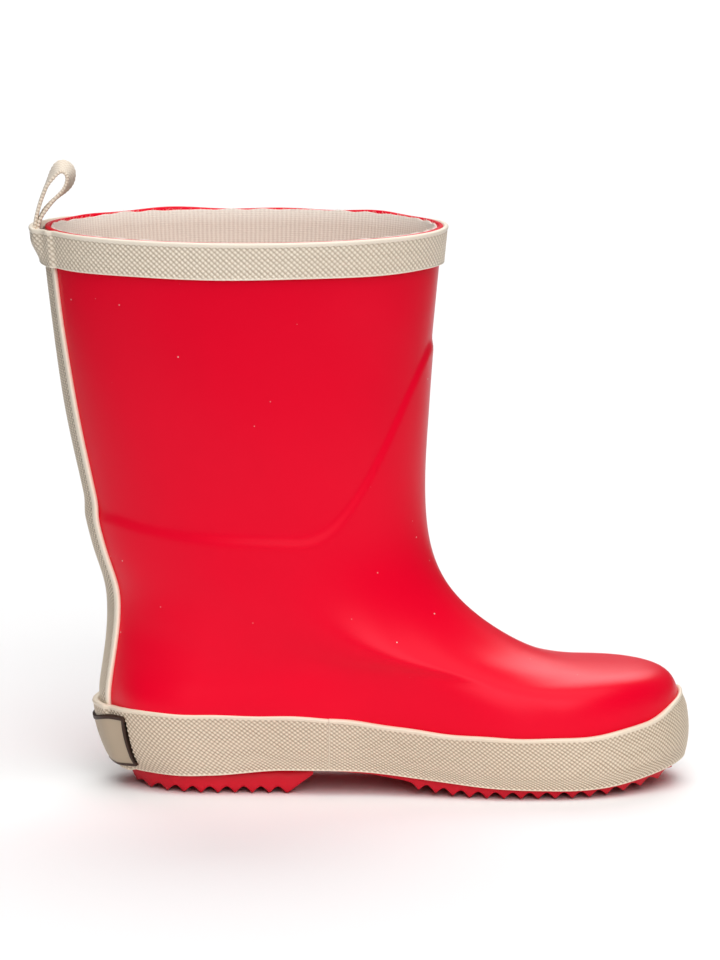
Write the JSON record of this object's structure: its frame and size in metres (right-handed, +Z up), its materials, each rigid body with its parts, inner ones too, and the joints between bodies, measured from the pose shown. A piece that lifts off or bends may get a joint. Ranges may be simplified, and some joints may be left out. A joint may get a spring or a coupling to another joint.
{
  "type": "children's rain boot",
  "caption": "Children's pull-on rubber rain boot for the right foot, with a knurled collar band, cloth lining, webbing pull loop, ribbed sole and a lift-out insole.",
  "frame": {"origin": "on the ground, at the middle of the boot's length and width", "axes": "+X to the toe, +Y to the inner side of a right foot, +Z up"},
  "size_m": [0.2128, 0.0828, 0.2014],
  "materials": {
    "red_rubber": "satin gloss",
    "cream_rubber": "satin, knurled",
    "sole_rubber": "matte",
    "label_rubber": "satin",
    "sponge_rubber": "matte",
    "knit": "ribbed cotton knit",
    "coated_fabric": "rubber-coated cotton",
    "webbing": "woven cotton tape",
    "insole_cloth": "cotton over foam",
    "board": "pressed fibre board",
    "shank_steel": "plain strip steel"
  },
  "bodies": {
    "boot": {"upper": "red_rubber", "lining": "knit", "ankle_reinforcement": "coated_fabric", "toe_reinforcement": "coated_fabric", "heel_counter": "coated_fabric", "back_strip": "cream_rubber", "pull_loop_tails": "webbing", "collar_band": "cream_rubber", "foxing_heel_strip": "cream_rubber", "foxing_toe_strip": "cream_rubber", "heel_label": "label_rubber", "outsole": "sole_rubber", "heel_block": "sole_rubber", "shank": "shank_steel", "sole_filler": "sponge_rubber", "insole_board": "board"},
    "insole": {"insole": "insole_cloth"},
    "pull_loop": {"pull_loop": "webbing"}
  },
  "joints": [
    {"name": "insole_lift", "type": "hinge", "parent": "boot", "child": "insole", "pos_m": [0.0994, 0, 0.017], "axis": [0, 1, 0], "range_deg": [0, 14]},
    {"name": "loop_bend", "type": "hinge", "parent": "boot", "child": "pull_loop", "pos_m": [-0.10374, 0, 0.18352], "axis": [0, 1, 0], "range_deg": [-75, 40], "stiffness_Nm_per_rad": 0.002}
  ]
}
